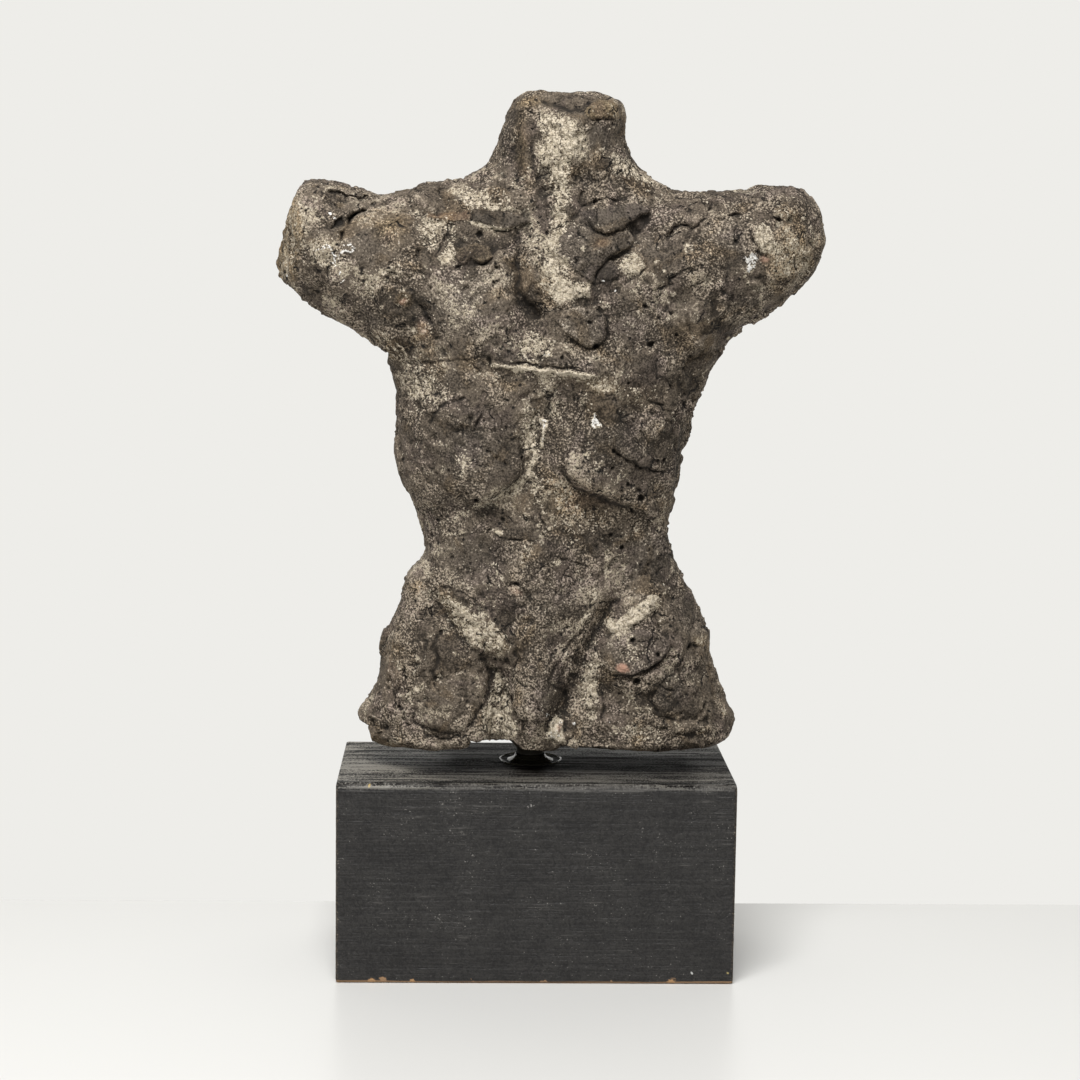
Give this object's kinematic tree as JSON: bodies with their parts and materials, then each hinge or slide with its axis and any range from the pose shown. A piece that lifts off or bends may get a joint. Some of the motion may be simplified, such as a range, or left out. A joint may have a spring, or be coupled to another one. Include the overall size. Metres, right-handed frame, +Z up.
{
  "type": "torso sculpture on plinth",
  "caption": "Rough clay torso without head, forearms or legs, held on a short glued post above a black-painted rectangular wooden plinth.",
  "frame": {"origin": "centre of the plinth's underside", "axes": "+Z up, +X to the viewer's right, the torso faces -Y"},
  "size_m": [0.1897, 0.07, 0.3046],
  "materials": {
    "torso_clay": "rough dark grey-brown fired clay with pale ash in its recesses, matt",
    "post_plastic": "dark olive-black, dull",
    "clear_glue": "hardened clear glue over black paint, glossy",
    "painted_wood": "thin black satin paint over planed softwood, its grain showing, worn grey on the top edge"
  },
  "bodies": {
    "root": {"torso": "torso_clay", "support_post": "post_plastic", "glue_fillet": "clear_glue", "plinth": "painted_wood"}
  },
  "joints": []
}
